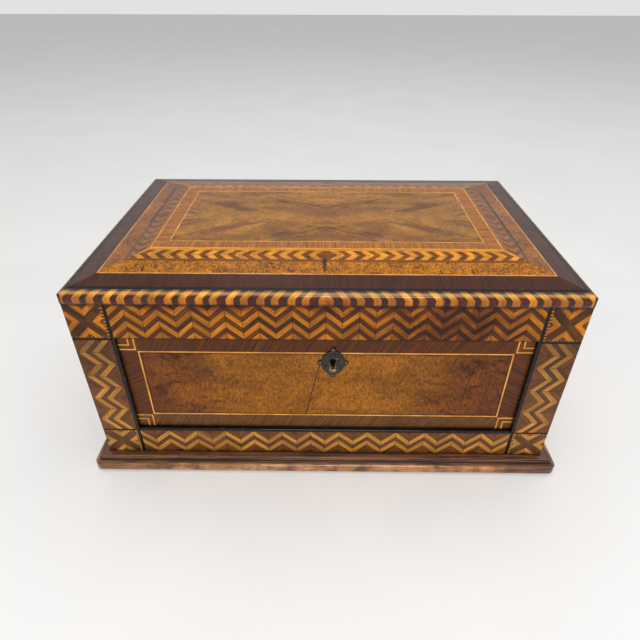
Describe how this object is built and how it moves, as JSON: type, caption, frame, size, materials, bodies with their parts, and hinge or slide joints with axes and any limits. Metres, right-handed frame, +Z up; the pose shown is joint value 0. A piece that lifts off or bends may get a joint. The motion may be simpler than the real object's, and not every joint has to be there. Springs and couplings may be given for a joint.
{
  "type": "parquetry box",
  "caption": "Veneered table box with chevron parquetry, a round striped lid edge, a low crowned hinged lid, a sunk front panel with an escutcheon, a box lock and a moulded base.",
  "frame": {"origin": "on the table, under the middle of the moulded base", "axes": "+X to the right along the front, +Y to the back where the hinges are, +Z up"},
  "size_m": [0.3608, 0.2388, 0.165],
  "materials": {
    "carcass_wood": "satin",
    "base_walnut": "polished",
    "edge_parquetry": "polished",
    "light_wood": "polished",
    "brown_wood": "polished",
    "dark_wood": "polished",
    "ebony": "polished",
    "boxwood": "polished",
    "front_burr": "polished",
    "top_burr": "polished",
    "burr_border": "polished",
    "rosewood": "polished",
    "dark_crossband": "polished",
    "top_crossband": "polished",
    "side_parquetry": "polished",
    "back_walnut": "satin",
    "lock_iron": "worn",
    "hinge_brass": "aged",
    "dark_brass": "blackened"
  },
  "bodies": {
    "case": {"bottom_board": "carcass_wood", "base_moulding_front": "base_walnut", "base_moulding_back": "base_walnut", "base_moulding_left": "base_walnut", "base_moulding_right": "base_walnut", "front_board": "carcass_wood", "back_board": "carcass_wood", "left_board": "carcass_wood", "right_board": "carcass_wood", "frame_grounds": "carcass_wood", "front_frame_light_slips": "light_wood", "front_frame_brown_slips": "brown_wood", "front_frame_dark_slips": "dark_wood", "front_beads": "ebony", "case_black_lines": "ebony", "front_crossbanding": "dark_crossband", "front_stringing": "boxwood", "front_burr_leaves": "front_burr", "side_frame_veneers": "side_parquetry", "side_beads": "ebony", "side_crossbanding": "dark_crossband", "side_stringing": "boxwood", "side_burr_panels": "front_burr", "back_veneer": "back_walnut", "escutcheon": "dark_brass", "escutcheon_nails": "dark_brass", "lock_case": "lock_iron", "lock_cap": "lock_iron", "lock_spring": "lock_iron", "lock_drill_pin": "lock_iron", "case_hinge_leaves": "hinge_brass", "hinge_pins": "hinge_brass", "case_screws": "hinge_brass"},
    "lid": {"lid_front_rail": "carcass_wood", "lid_back_rail": "carcass_wood", "lid_left_rail": "carcass_wood", "lid_right_rail": "carcass_wood", "lid_top_board": "carcass_wood", "edge_moulding_front": "edge_parquetry", "edge_moulding_back": "edge_parquetry", "edge_moulding_left": "edge_parquetry", "edge_moulding_right": "edge_parquetry", "lid_front_light_slips": "light_wood", "lid_front_brown_slips": "brown_wood", "lid_front_dark_slips": "dark_wood", "lid_black_lines": "ebony", "lid_side_veneers": "side_parquetry", "lid_back_veneer": "back_walnut", "rosewood_border": "rosewood", "burr_border": "burr_border", "feather_light_slips": "light_wood", "feather_dark_slips": "brown_wood", "feather_margins": "brown_wood", "top_crossbanding": "top_crossband", "top_stringing": "boxwood", "top_burr_leaves": "top_burr", "lid_hinge_leaves": "hinge_brass", "link_plate": "lock_iron", "lid_screws": "hinge_brass"},
    "bolt": {"lock_bolt": "lock_iron"}
  },
  "joints": [
    {"name": "lid_hinge", "type": "hinge", "parent": "case", "child": "lid", "pos_m": [0, 0.1107, 0.121], "axis": [-1, 0, 0], "range_deg": [0, 98]},
    {"name": "bolt_slide", "type": "slide", "parent": "case", "child": "bolt", "axis": [1, 0, 0], "range_m": [0, 0.005]}
  ]
}
